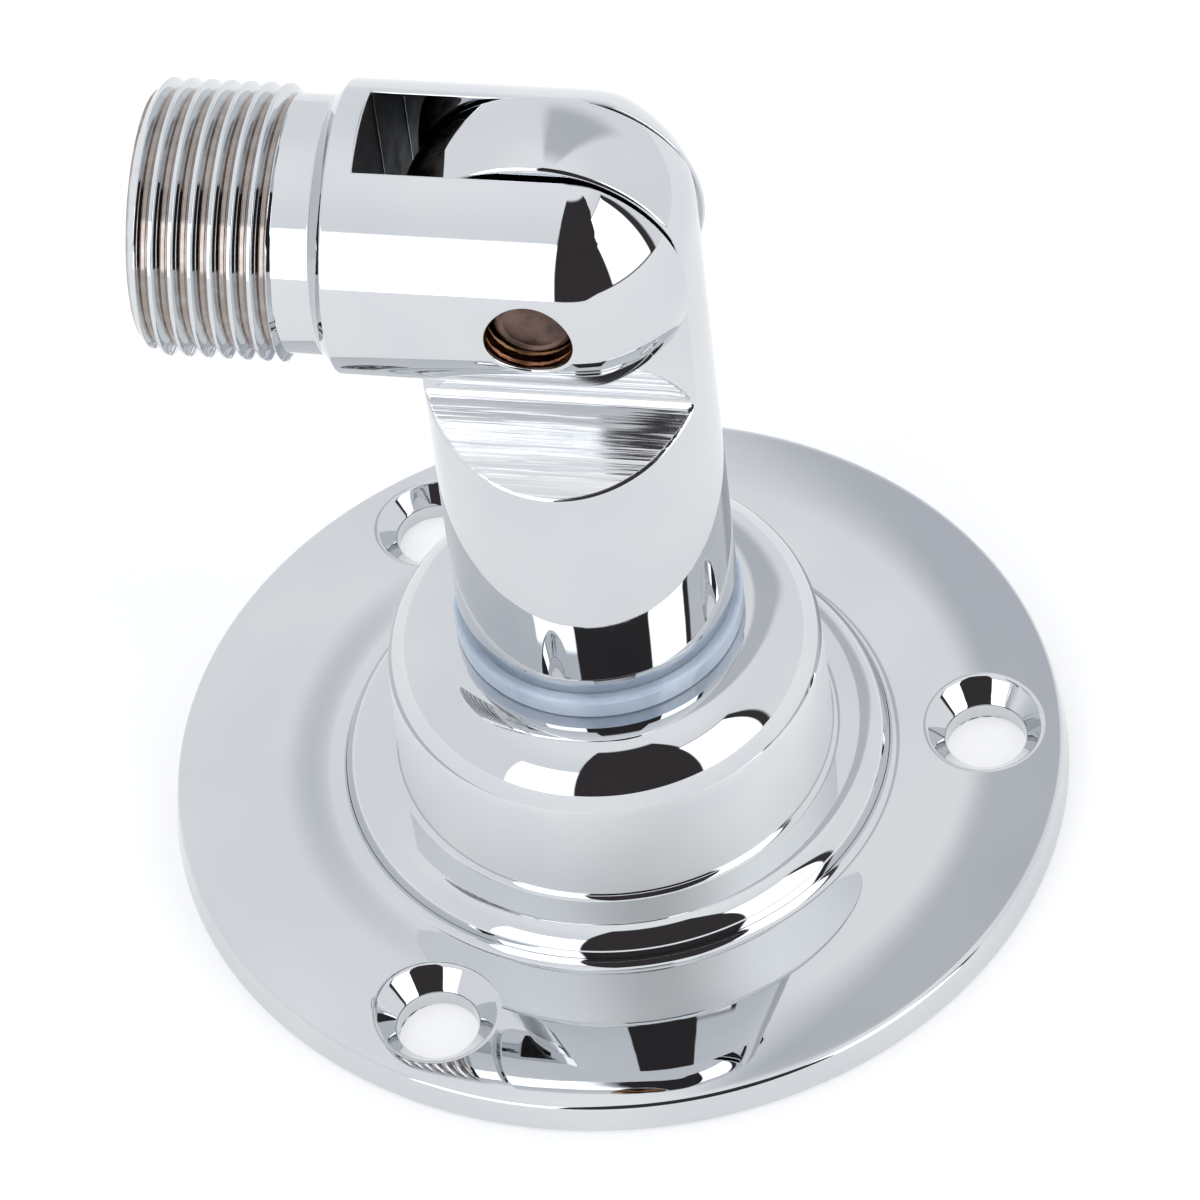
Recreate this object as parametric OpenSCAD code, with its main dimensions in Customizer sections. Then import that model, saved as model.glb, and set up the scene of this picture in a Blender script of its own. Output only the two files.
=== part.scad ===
// Swivelling, folding deck base with a male threaded arm.
// Millimetres. Origin at the centre of the flat underside, +Z up the post,
// arm along -X at rest, pivot screw along Y.

/* [Show] */
// Sub-part to draw, or all of them

/* [Base] */
// Diameter of the round flange
flange_d = 88; // [80:0.5:120]
// Height of the flange above the deck
flange_t = 4; // [3:0.1:6]
// How much the top of the flange has fallen at its rim
flange_fall = 0.6; // [0.2:0.1:1.2]
// How far the side of the flange leans in
flange_lean = 0.5; // [0.2:0.1:1]
// Width of the raised step around the collar
step_w = 5.4; // [4:0.1:7]
// Height of the step above the flange
step_h = 3; // [2:0.1:5]
// Radius of the rounded edge of the step
step_round = 3; // [1:0.1:3.5]
// Wall of the collar at its foot, around the recess
collar_wall = 4.8; // [3.5:0.1:6]
// Largest radius of the collar's shoulder
collar_round = 6.5; // [2:0.1:7]
// How much slimmer the collar is under its shoulder
collar_taper = 0.4; // [0:0.1:1]
// Thickness of the collar's roof over the recess
roof_t = 8.1; // [6:0.1:10]

/* [Deck screws] */
// Distance from the flange's edge to the centre of a hole
hole_edge = 8; // [7:0.1:11]
// Diameter of a screw hole
hole_d = 7.8; // [5:0.1:9]
// How much wider the countersink is than the hole
sink_over = 4.4; // [2:0.1:5]
// Turn of the first hole from +X
holes_turn = 9.8; // [0:0.1:60]

/* [Post] */
// Diameter of the post and of the fork
post_d = 27; // [24:0.1:33]
// Distance from the foot of the post to the pivot axis
post_len = 49.05; // [40:0.05:70]
// Height of the bevel round the foot of the post
post_bevel_h = 2.6; // [1:0.1:4]
// Depth of that bevel
post_bevel = 0.6; // [0.2:0.1:1.2]
// Thickness of the tongue
tongue_t = 9.2; // [7:0.1:12]
// Gap between the round end of the fork and the ledges
ledge_gap = 2.3; // [1:0.1:4]
// Slope of the ledges in degrees
ledge_slope = 25.8; // [10:0.1:35]
// How much the rounded ends stand out from the post's radius
knuckle_over = 0.8; // [0.4:0.1:1.5]
// How much wider than its thread the journal is, on the radius
journal_step = 1; // [0.5:0.1:2]
// Diameter of the thread under the journal
stem_d = 12; // [10:0.1:15]

/* [Swivel stack] */
// How far the visible nylon washer stands out from the post
washer_lip = 0.7; // [0.2:0.1:2]
// Thickness of the visible nylon washer
washer_t = 2.4; // [1.5:0.1:4]
// Wall of the nylon bush
bush_wall = 1.6; // [1:0.1:2.2]
// Thickness of the nylon washer under the roof
lower_t = 1.6; // [1:0.1:2.5]
// How far the washers in the recess stand out from the post's radius
stack_over = 0.5; // [0:0.1:2]
// Thickness of the steel washer
steel_t = 1.8; // [1:0.1:2.5]
// Thickness of one disc spring
disc_t = 0.7; // [0.5:0.1:1]
// Cone height of one disc spring
disc_cone = 0.45; // [0.3:0.05:0.8]
// How much wider across its flats the nut is than its thread
nut_over = 7; // [6.5:0.1:9]
// Height of the hexagon of the nut
nut_h = 7; // [5:0.1:10]
// Height of the nut's round collar with the nylon ring
nut_collar_h = 2.6; // [2.3:0.1:4]
// Gap between the nut and the deck
nut_clear = 1.65; // [1:0.05:4]

/* [Fork] */
// Gap between the round end of the tongue and the slot's floor
slot_gap = 1.8; // [0.5:0.1:4]
// Length of solid bar behind the slot
slot_back = 2.4; // [2:0.1:6]
// Length of the bevel between the bar and the neck
bar_bevel = 1.5; // [0.8:0.1:3]
// How far the relief neck lies under the thread, on the radius
neck_under = 0.8; // [0.5:0.05:1.5]
// Length of the relief neck
neck_len = 3.4; // [2:0.1:6]
// Outside diameter of the male thread
thread_d = 25.4; // [20:0.1:26.4]
// Pitch of the male thread
thread_pitch = 1.814; // [1.5:0.001:2.5]
// Depth of the thread
thread_h = 1.1; // [0.6:0.05:1.3]
// Length of the threaded part with its end bevel
thread_len = 13.35; // [9:0.05:30]

/* [Pivot] */
// Diameter of the pivot screw
screw_d = 8; // [6:0.1:10]
// How far the screw's head stands out from its shank
head_step = 2; // [1.5:0.1:2.5]
// Height of the screw's head
head_h = 4; // [3:0.1:5]
// Wall of the far ear under the screw's head
ear_seat = 2.6; // [2:0.1:3.5]
// Socket across its flats
socket_af = 5; // [4:0.1:6]
// Depth of the socket
socket_depth = 2.6; // [2:0.1:2.8]
// How far the end of the screw is sunk in the near ear
end_sink = 2; // [1:0.1:3]
// Wall of the bronze bush in the tongue
pivot_wall = 1; // [0.8:0.1:1.5]
// Width of the friction shims around the screw
shim_w = 5.5; // [3:0.1:6]
// Thickness of one friction shim
shim_t = 0.35; // [0.2:0.05:0.8]

/* [Hidden] */
$fn = 96;
eps = 0.01;
over = 1;
half_turn = 180;
quarter = 90;
big = 200;
hex = 6;
hole_count = 3;
chrome = [0.82, 0.83, 0.85];
nylon = [0.62, 0.68, 0.82];
steel = [0.6, 0.6, 0.62];
bronze = [0.66, 0.45, 0.28];

// clearances
slip = 0.05;
washer_gap = 0.15;
stem_gap = 0.2;
far_gap = 0.1;
head_gap = 0.3;
recess_gap = 1.5;
seat_edge = 0.2;

// post and screw radii
post_r = post_d / 2;
stem_r = stem_d / 2;
journal_r = stem_r + journal_step;
bore_r = journal_r + slip + bush_wall;
washer_r = post_r + washer_lip;
knuckle_r = post_r + knuckle_over;
tongue_half = tongue_t / 2;
screw_r = screw_d / 2;

// stack under the roof, from the deck up
ring_w = 1.7;
nut_wall = 1.3;
nut_lip = 0.5;
nut_cut = 0.8;
ring_h = 1.6;
lower_over = 1;
disc_in = 1.5;
nut_r = (stem_d + nut_over) / 2;
nut_corner_r = nut_r / cos(half_turn / hex);
ring_r = stem_r + ring_w;
nut_z = nut_clear;
nut_collar_z = nut_z + nut_collar_h;
nut_top_z = nut_collar_z + nut_h;
disc_h = disc_t + disc_cone;
lower_disc_z = nut_top_z;
upper_disc_z = lower_disc_z + disc_h;
steel_z = upper_disc_z + disc_h;
lower_z = steel_z + steel_t + slip;
roof_z = lower_z + lower_t;
collar_z = roof_z + roof_t;
stack_r = post_r + stack_over;
lower_r = stack_r + lower_over;
disc_r = stack_r - disc_in;
disc_hole_r = stem_r + stem_gap;

// base profile
rim_round = 0.6;
valley_fall = 0.4;
valley_gap = 1.2;
crest_in = 2;
crest_out = 2.5;
edge_cut = 0.35;
fillet_r = 0.8;
recess_bevel = 1;
flange_r = flange_d / 2;
rim_z = flange_t - flange_fall;
valley_z = flange_t - valley_fall;
recess_r = lower_r + recess_gap;
collar_r = recess_r + collar_wall;
collar_top_r = collar_r - collar_taper;
shoulder_r = min(collar_round, collar_top_r - washer_r - seat_edge);
step_r = collar_r + step_w;
step_z = flange_t + step_h;
step_edge_r = min(step_round, step_w, step_h + valley_fall);
holes_r = flange_r - hole_edge;
hole_r = hole_d / 2;
sink_r = hole_r + sink_over / 2;
sink_depth = sink_over / 2;

// post
stem_out = 0.5;
stem_bevel = 1;
ledge_past = 2;
post_z = collar_z + washer_t + slip;
pivot_z = post_z + post_len;
journal_end_z = roof_z - lower_t / 2;
stem_end_z = nut_z - stem_out;
ledge_z = pivot_z - knuckle_r - ledge_gap;
ledge_out = post_r + ledge_past;
ledge_low_z = ledge_z - (ledge_out - tongue_half) * tan(ledge_slope);
pivot_bore_r = screw_r + slip + pivot_wall;

// fork
end_bevel = 1.1;
fork_r = post_r;
slot_half = tongue_half + shim_t + slip;
slot_w = 2 * slot_half;
slot_depth = knuckle_r + slot_gap;
bar_len = slot_depth + slot_back;
thread_r = thread_d / 2;
neck_r = thread_r - neck_under;
neck_start = bar_len + bar_bevel;
neck_end = neck_start + neck_len;
arm_len = neck_end + thread_len;
crest_w = thread_pitch / 8;
root_w = thread_pitch / 4;
flank_w = (thread_pitch - crest_w - root_w) / 2;
thread_turns = floor((thread_len - end_bevel - crest_w) / thread_pitch);
root_r = thread_r - thread_h;

// pivot
end_bevel_r = 1.05;
end_bevel_y = 1;
mouth_bevel = 0.5;
mouth_drop = 0.75;
head_r = screw_r + head_step;
far_hole_r = screw_r + far_gap;
head_sink_r = head_r + head_gap;
head_y = slot_half + ear_seat;
head_top_y = head_y + head_h;
end_y = fork_r - end_sink;
mouth_y = fork_r - mouth_drop;
shim_hole_r = screw_r + stem_gap;
shim_r = screw_r + shim_w;
shim_y = tongue_half + slip;

module flange_outline() {
  polygon([[recess_r, 0], [flange_r - edge_cut, 0], [flange_r, edge_cut],
           [flange_r - flange_lean, rim_z - rim_round],
           [flange_r - flange_lean - rim_round / 3, rim_z - rim_round / 3],
           [flange_r - flange_lean - rim_round, rim_z],
           [holes_r + crest_out, flange_t - flange_fall / 4],
           [holes_r, flange_t], [holes_r - crest_in, flange_t],
           [step_r + valley_gap, valley_z], [recess_r, valley_z]]);
}

module corner_cut(r) {
  difference() {
    square([r + over, r + over]);
    circle(r = r);
  }
}

module step_outline() {
  difference() {
    translate([recess_r, 0]) square([step_r - recess_r, step_z]);
    translate([step_r - step_edge_r, step_z - step_edge_r]) corner_cut(step_edge_r);
  }
  difference() {
    translate([step_r - eps, valley_z - eps]) square([fillet_r + eps, fillet_r + eps]);
    translate([step_r + fillet_r, valley_z + fillet_r]) circle(r = fillet_r);
  }
}

module collar_outline() {
  difference() {
    union() {
      polygon([[recess_r, 0], [collar_r, step_z - eps], [collar_top_r, collar_z - shoulder_r],
               [collar_top_r, collar_z], [recess_r, collar_z]]);
      translate([bore_r, roof_z]) square([recess_r - bore_r + eps, roof_t]);
    }
    translate([collar_top_r - shoulder_r, collar_z - shoulder_r]) corner_cut(shoulder_r);
  }
}

module deck_hole() {
  translate([holes_r, 0, -over]) cylinder(r = hole_r, h = flange_t + 2 * over);
  translate([holes_r, 0, flange_t - sink_depth])
    cylinder(r1 = hole_r, r2 = sink_r + over, h = sink_depth + over);
}

module base_casting() {
  color(chrome)
    difference() {
      rotate_extrude() {
        flange_outline();
        step_outline();
        collar_outline();
      }
      for (i = [0:hole_count - 1])
        rotate([0, 0, holes_turn + i * 2 * half_turn / hole_count]) deck_hole();
      translate([0, 0, -eps])
        cylinder(r1 = recess_r + recess_bevel, r2 = recess_r, h = recess_bevel);
    }
}

module swivel_washer() {
  color(nylon)
    rotate_extrude()
      polygon([[journal_r + washer_gap, collar_z], [washer_r - edge_cut, collar_z],
               [washer_r, collar_z + edge_cut],
               [washer_r, collar_z + washer_t - 2 * edge_cut],
               [washer_r - edge_cut, collar_z + washer_t - edge_cut / 2],
               [washer_r - 2 * edge_cut, collar_z + washer_t],
               [journal_r + washer_gap, collar_z + washer_t]]);
}

module swivel_bush() {
  color(nylon)
    translate([0, 0, roof_z])
      difference() {
        cylinder(r = bore_r, h = roof_t);
        translate([0, 0, -over]) cylinder(r = journal_r + slip, h = roof_t + 2 * over);
      }
}

module post_outline() {
  intersection() {
    translate([0, pivot_z]) circle(r = knuckle_r);
    translate([0, pivot_z]) square([post_r, knuckle_r + over]);
  }
  polygon([[0, stem_end_z], [stem_r - stem_bevel, stem_end_z],
           [stem_r, stem_end_z + stem_bevel], [stem_r, journal_end_z],
           [journal_r, journal_end_z], [journal_r, post_z],
           [post_r - post_bevel, post_z], [post_r, post_z + post_bevel_h],
           [post_r, pivot_z + eps], [0, pivot_z + eps]]);
}

module ledge_cut() {
  rotate([quarter, 0, quarter])
    translate([0, 0, -big / 2])
      linear_extrude(height = big)
        polygon([[tongue_half, ledge_z], [ledge_out, ledge_low_z],
                 [ledge_out, pivot_z + post_d], [tongue_half, pivot_z + post_d]]);
}

module post() {
  color(chrome)
    difference() {
      rotate_extrude() post_outline();
      ledge_cut();
      mirror([0, 1, 0]) ledge_cut();
      translate([0, 0, pivot_z]) rotate([quarter, 0, 0])
        cylinder(r = pivot_bore_r, h = post_d, center = true);
    }
}

module lower_washer() {
  color(nylon)
    translate([0, 0, lower_z])
      difference() {
        cylinder(r = lower_r, h = lower_t);
        translate([0, 0, -over]) cylinder(r = journal_r + washer_gap, h = lower_t + 2 * over);
      }
}

module steel_washer() {
  color(steel)
    translate([0, 0, steel_z])
      difference() {
        cylinder(r = stack_r, h = steel_t);
        translate([0, 0, -over]) cylinder(r = disc_hole_r, h = steel_t + 2 * over);
      }
}

module disc_spring() {
  rotate_extrude()
    polygon([[disc_hole_r, 0], [disc_r, disc_cone], [disc_r, disc_cone + disc_t],
             [disc_hole_r, disc_t]]);
}

module disc_spring_upper() {
  color(steel)
    translate([0, 0, upper_disc_z + disc_h]) mirror([0, 0, 1]) disc_spring();
}

module disc_spring_lower() {
  color(steel) translate([0, 0, lower_disc_z]) disc_spring();
}

module lock_nut() {
  color(steel)
    difference() {
      union() {
        intersection() {
          translate([0, 0, nut_collar_z])
            cylinder(r = nut_corner_r, h = nut_h, $fn = hex);
          rotate_extrude()
            polygon([[0, nut_collar_z], [nut_r, nut_collar_z],
                     [nut_corner_r, nut_collar_z + nut_cut],
                     [nut_corner_r, nut_top_z - nut_cut],
                     [nut_r, nut_top_z], [0, nut_top_z]]);
        }
        translate([0, 0, nut_z])
          cylinder(r = ring_r + nut_wall, h = nut_collar_h + eps);
      }
      translate([0, 0, nut_z - over])
        cylinder(r = stem_r, h = nut_top_z - nut_z + 2 * over);
      translate([0, 0, nut_z + nut_lip])
        cylinder(r = ring_r, h = ring_h);
      translate([0, 0, nut_z - over])
        cylinder(r = ring_r - nut_lip, h = nut_lip + over + eps);
    }
}

module lock_nut_ring() {
  color(nylon)
    translate([0, 0, nut_z + nut_lip])
      difference() {
        cylinder(r = ring_r, h = ring_h);
        translate([0, 0, -over]) cylinder(r = stem_r, h = ring_h + 2 * over);
      }
}

module thread_groove() {
  polygon([[root_r, crest_w + flank_w],
           [thread_r + eps, crest_w - eps], [thread_r + over, crest_w - eps],
           [thread_r + over, thread_pitch + eps], [thread_r + eps, thread_pitch + eps],
           [root_r, thread_pitch - flank_w]]);
}

module fork_outline() {
  intersection() {
    circle(r = knuckle_r);
    translate([0, -knuckle_r - over]) square([fork_r, knuckle_r + 2 * over]);
  }
  difference() {
    polygon([[0, 0], [fork_r, 0], [fork_r, bar_len], [neck_r, neck_start], [neck_r, neck_end],
             [thread_r, neck_end + (thread_r - neck_r)], [thread_r, arm_len - end_bevel],
             [thread_r - end_bevel, arm_len], [0, arm_len]]);
    for (i = [1:thread_turns])
      translate([0, arm_len - end_bevel - i * thread_pitch]) thread_groove();
  }
}

module slot_cut() {
  translate([-slot_depth, -slot_half, -big / 2])
    cube([big, slot_w, big]);
}

module near_hole() {
  rotate([quarter, 0, 0]) {
    cylinder(r = screw_r, h = big / 2);
    translate([0, 0, mouth_y - mouth_bevel])
      cylinder(r1 = screw_r, r2 = screw_r + mouth_bevel + over, h = mouth_bevel + over);
  }
}

module far_hole() {
  rotate([-quarter, 0, 0]) {
    cylinder(r = far_hole_r, h = big / 2);
    translate([0, 0, head_y]) cylinder(r = head_sink_r, h = big / 2);
  }
}

module fork() {
  color(chrome)
    translate([0, 0, pivot_z])
      difference() {
        rotate([0, -quarter, 0]) rotate_extrude() fork_outline();
        slot_cut();
        near_hole();
        far_hole();
      }
}

module pivot_screw() {
  color(bronze)
    translate([0, 0, pivot_z])
      rotate([-quarter, 0, 0])
        difference() {
          rotate_extrude()
            polygon([[0, -end_y], [screw_r - end_bevel_r, -end_y],
                     [screw_r, -end_y + end_bevel_y], [screw_r, head_y],
                     [head_r, head_y], [head_r, head_top_y - edge_cut],
                     [head_r - edge_cut, head_top_y], [0, head_top_y]]);
          translate([0, 0, head_top_y - socket_depth])
            cylinder(r = socket_af / 2 / cos(half_turn / hex), h = socket_depth + over, $fn = hex);
        }
}

module pivot_bush() {
  color(bronze)
    translate([0, 0, pivot_z])
      rotate([quarter, 0, 0])
        difference() {
          cylinder(r = pivot_bore_r, h = tongue_t, center = true);
          cylinder(r = screw_r + slip, h = tongue_t + over, center = true);
        }
}

module shim(y) {
  translate([0, y, pivot_z])
    rotate([-quarter, 0, 0])
      difference() {
        cylinder(r = shim_r, h = shim_t);
        translate([0, 0, -over]) cylinder(r = shim_hole_r, h = shim_t + 2 * over);
      }
}

module shim_near() {
  color(nylon) shim(-shim_y - shim_t);
}

module shim_far() {
  color(nylon) shim(shim_y);
}

base_casting();
swivel_washer();
swivel_bush();
post();
lower_washer();
steel_washer();
disc_spring_upper();
disc_spring_lower();
lock_nut();
lock_nut_ring();
fork();
pivot_screw();
pivot_bush();
shim_near();
shim_far();
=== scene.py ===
import math
import bpy
import numpy as np
from mathutils import Matrix, Vector


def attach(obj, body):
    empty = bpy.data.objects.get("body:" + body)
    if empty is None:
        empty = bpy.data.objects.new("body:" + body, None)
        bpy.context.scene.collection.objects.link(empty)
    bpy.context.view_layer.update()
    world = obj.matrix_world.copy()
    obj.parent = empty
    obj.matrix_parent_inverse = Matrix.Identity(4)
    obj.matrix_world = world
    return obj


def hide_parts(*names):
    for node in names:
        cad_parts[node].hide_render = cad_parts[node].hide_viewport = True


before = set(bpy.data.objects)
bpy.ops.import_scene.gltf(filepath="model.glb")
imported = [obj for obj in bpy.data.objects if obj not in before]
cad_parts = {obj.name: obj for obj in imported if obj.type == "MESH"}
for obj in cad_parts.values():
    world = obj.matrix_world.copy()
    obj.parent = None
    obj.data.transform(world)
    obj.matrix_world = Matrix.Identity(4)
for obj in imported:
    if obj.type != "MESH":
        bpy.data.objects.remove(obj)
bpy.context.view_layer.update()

MM = 0.001
PIVOT = 76.6  # height of the fold's axis over the deck, in mm as every size below

CAMERA_AZIMUTH = math.radians(14.459)
CAMERA_ELEVATION = math.radians(48.986)
CAMERA_ROLL = math.radians(-7.447)
CAMERA_DISTANCE = 700.184
CAMERA_LENS = 220.09
LOOK_AT = Vector((0.399, -1.103, 27.392))


# ---------------------------------------------------------------- camera
def make_camera():
    sin, cos = math.sin(CAMERA_AZIMUTH), math.cos(CAMERA_AZIMUTH)
    level = math.cos(CAMERA_ELEVATION)
    back = Vector((sin * level, -cos * level, math.sin(CAMERA_ELEVATION)))
    right = Vector((cos, sin, 0))
    up = back.cross(right)
    right_r = math.cos(CAMERA_ROLL) * right + math.sin(CAMERA_ROLL) * up
    up_r = -math.sin(CAMERA_ROLL) * right + math.cos(CAMERA_ROLL) * up
    place = (LOOK_AT + CAMERA_DISTANCE * back) * MM
    data = bpy.data.cameras.new("photo_camera")
    data.sensor_width = 36
    data.lens = CAMERA_LENS
    data.clip_start = 0.05
    data.clip_end = 50
    cam = bpy.data.objects.new("photo_camera", data)
    bpy.context.scene.collection.objects.link(cam)
    cam.matrix_world = Matrix((
        (right_r.x, up_r.x, back.x, place.x),
        (right_r.y, up_r.y, back.y, place.y),
        (right_r.z, up_r.z, back.z, place.z),
        (0, 0, 0, 1)))
    bpy.context.scene.camera = cam


make_camera()


# ---------------------------------------------------------------- mesh tools
def rmax(a, b, r):
    """Maximum of two distances with the edge between them rounded to radius r."""
    return np.minimum(np.maximum(a, b), -r) + np.hypot(np.maximum(a + r, 0), np.maximum(b + r, 0))


def rmin(a, b, r):
    return -rmax(-a, -b, r)


def gradient(points, sdf):
    e = 1e-3
    parts = []
    for axis in range(3):
        d = np.zeros(3)
        d[axis] = e
        parts.append((sdf(points + d) - sdf(points - d)) / (2 * e))
    return np.stack(parts, -1)


def settle(points, sdf, steps=7):
    """Move points onto the surface where sdf is zero."""
    for _ in range(steps):
        g = gradient(points, sdf)
        points = points - g * (sdf(points) / np.maximum((g * g).sum(-1), 0.25))[..., None]
    return points


def unit(v):
    return v / np.maximum(np.linalg.norm(v, axis=-1, keepdims=True), 1e-12)


WELD = 2e-3


class Shape:
    """Patches of quads with exact normals, welded into one mesh. Millimetres."""

    def __init__(self):
        self.patches = []

    def add(self, points, normals, closed=False, mat=0):
        if closed:
            points = np.concatenate([points, points[:, :1]], 1)
            normals = np.concatenate([normals, normals[:, :1]], 1)
        self.patches.append((points, unit(normals), mat))

    def settled(self, points, sdf, closed=False, mat=0):
        points = settle(points, sdf)
        self.add(points, gradient(points, sdf), closed, mat)

    def build(self, name, materials):
        verts, norms, quads, mats, start = [], [], [], [], 0
        for p, n, m in self.patches:
            a, b = p.shape[:2]
            idx = start + np.arange(a * b).reshape(a, b)
            q = np.stack([idx[:-1, :-1], idx[:-1, 1:], idx[1:, 1:], idx[1:, :-1]], -1).reshape(-1, 4)
            flat_p, flat_n = p.reshape(-1, 3), n.reshape(-1, 3)
            c = flat_p[q - start]
            face = np.cross(c[:, 2] - c[:, 0], c[:, 3] - c[:, 1])
            if (face * flat_n[q - start].mean(1)).sum() < 0:
                q = q[:, ::-1]
            verts.append(flat_p)
            norms.append(flat_n)
            quads.append(q)
            mats.append(np.full(len(q), m))
            start += a * b
        verts, norms, quads, mats = map(np.concatenate, (verts, norms, quads, mats))
        cells = np.round(verts / WELD).astype(np.int64)
        _, first, weld = np.unique(cells, axis=0, return_index=True, return_inverse=True)
        weld = weld.reshape(-1)
        faces, loop_normals, face_mats = [], [], []
        for q, m in zip(quads.tolist(), mats.tolist()):
            w = [int(weld[i]) for i in q]
            keep = [k for k in range(4) if w[k] != w[k - 1]]
            if len(keep) < 3 or len({w[k] for k in keep}) < 3:
                continue
            faces.append([w[k] for k in keep])
            loop_normals.extend(norms[q[k]] for k in keep)
            face_mats.append(m)
        mesh = bpy.data.meshes.new(name)
        mesh.from_pydata((verts[first] * MM).tolist(), [], faces)
        mesh.polygons.foreach_set("material_index", np.array(face_mats, np.int32))
        mesh.polygons.foreach_set("use_smooth", np.ones(len(faces), bool))
        for mat in materials:
            mesh.materials.append(mat)
        mesh.update()
        mesh.normals_split_custom_set([tuple(n) for n in loop_normals])
        ob = bpy.data.objects.new(name, mesh)
        bpy.context.scene.collection.objects.link(ob)
        return ob


def path(corners, seg=8):
    """A profile from corners (r, z, radius), each rounded, with its normals to the right of travel."""
    pts, nrm = [], []
    c = [np.array(p[:2], float) for p in corners]
    rad = [p[2] for p in corners]

    def right(d):
        return np.array([d[1], -d[0]])

    for i, p in enumerate(c):
        d0 = unit(p - c[i - 1]) if i else None
        d1 = unit(c[i + 1] - p) if i < len(c) - 1 else None
        if d0 is None or d1 is None:
            pts.append(p)
            nrm.append(right(d1 if d0 is None else d0))
            continue
        turn = math.acos(max(-1, min(1, float(d0 @ d1))))
        if rad[i] <= 0 or turn < 1e-4:
            pts += [p, p]
            nrm += [right(d0), right(d1)]
            continue
        cut = rad[i] * math.tan(turn / 2)
        a = p - d0 * cut
        sign = 1 if d0[0] * d1[1] - d0[1] * d1[0] > 0 else -1
        centre = a - sign * right(d0) * rad[i]
        for k in range(seg + 1):
            t = sign * turn * k / seg
            n = right(d0)
            cos, sin = math.cos(t), math.sin(t)
            n = np.array([n[0] * cos - n[1] * sin, n[0] * sin + n[1] * cos])
            pts.append(centre + sign * n * rad[i])
            nrm.append(n)
    return np.array(pts), np.array(nrm)


def spin(profile, directions, frame3=np.eye(3)):
    """Profile (r, z) turned round the frame's third axis, through the unit directions given."""
    c = np.asarray(directions, float)

    def turned(rz):
        height = np.repeat(rz[:, 1:2], len(c), 1)
        return np.stack([rz[:, None, 0] * c[None, :, 0], rz[:, None, 0] * c[None, :, 1], height], -1)

    return turned(profile[0]) @ frame3, turned(profile[1]) @ frame3


def circle(n):
    t = np.arange(n) / n * 2 * math.pi
    return np.stack([np.cos(t), np.sin(t)], -1)


def spread(lo, hi, n, near, far=None):
    """n steps from lo to hi with extra stops at the given distances from each end."""
    far = near if far is None else far
    inner = np.linspace(lo + max(near), hi - max(far), n + 1)[1:-1]
    return np.array(sorted([lo + d for d in near] + list(inner) + [hi - d for d in far]))


EDGE = [0, 0.1, 0.2, 0.3, 0.42, 0.8]  # distances from an edge at which a patch has its rows


# ---------------------------------------------------------------- node tools
class Nodes:
    def __init__(self, tree):
        self.t = tree

    def new(self, kind, **values):
        n = self.t.nodes.new(kind)
        for k, v in values.items():
            setattr(n, k, v)
        return n

    def put(self, socket, value):
        if isinstance(value, bpy.types.NodeSocket):
            self.t.links.new(value, socket)
        elif value is not None:
            socket.default_value = value

    def math(self, op, a, b=None):
        n = self.new("ShaderNodeMath", operation=op)
        for s, v in zip(n.inputs, (a, b)):
            self.put(s, v)
        return n.outputs[0]

    def ramp(self, value, lo, hi, a=0.0, b=1.0, kind="SMOOTHSTEP"):
        n = self.new("ShaderNodeMapRange", interpolation_type=kind)
        for s, v in zip(n.inputs, (value, lo, hi, a, b)):
            self.put(s, v)
        return n.outputs[0]

    def mix(self, fac, a, b):
        n = self.new("ShaderNodeMix", data_type="RGBA")
        self.put(n.inputs[0], fac)
        self.put(n.inputs[6], a)
        self.put(n.inputs[7], b)
        return n.outputs[2]

    def noise(self, coord, scale, detail=3.0, rough=0.55, stretch=None):
        if stretch:
            m = self.new("ShaderNodeMapping")
            self.put(m.inputs["Vector"], coord)
            m.inputs["Scale"].default_value = stretch
            coord = m.outputs[0]
        n = self.new("ShaderNodeTexNoise")
        self.put(n.inputs["Vector"], coord)
        n.inputs["Scale"].default_value = scale
        n.inputs["Detail"].default_value = detail
        n.inputs["Roughness"].default_value = rough
        return n.outputs["Fac"]

    def bump(self, height, strength, distance):
        n = self.new("ShaderNodeBump")
        n.inputs["Strength"].default_value = strength
        n.inputs["Distance"].default_value = distance
        self.put(n.inputs["Height"], height)
        return n.outputs[0]


def material(name):
    m = bpy.data.materials.new(name)
    m.use_nodes = True
    n = Nodes(m.node_tree)
    shader = m.node_tree.nodes["Principled BSDF"]
    coord = n.new("ShaderNodeTexCoord").outputs["Object"]
    return m, n, shader, coord


def chrome(name, tint=(0.665, 0.685, 0.71), low=0.010, high=0.05):
    m, n, s, co = material(name)
    s.inputs["Metallic"].default_value = 1.0
    cloud = n.noise(co, 90, 4)
    fine = n.noise(co, 1500, 3)
    warm = n.ramp(n.noise(co, 45, 2), 0.35, 0.7)
    dark = tuple(c * 0.955 for c in tint) + (1,)
    lit = tuple(c * 1.02 for c in tint[:2]) + (tint[2], 1)
    n.put(s.inputs["Base Color"], n.mix(warm, dark, lit))
    haze = n.math("MULTIPLY", n.ramp(cloud, 0.45, 0.8), n.ramp(fine, 0.3, 0.8))
    n.put(s.inputs["Roughness"], n.ramp(haze, 0.0, 1.0, low, high, "LINEAR"))
    wave = n.noise(co, 220, 2)
    n.put(s.inputs["Normal"], n.bump(wave, 0.02, 0.0002))
    return m


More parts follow.
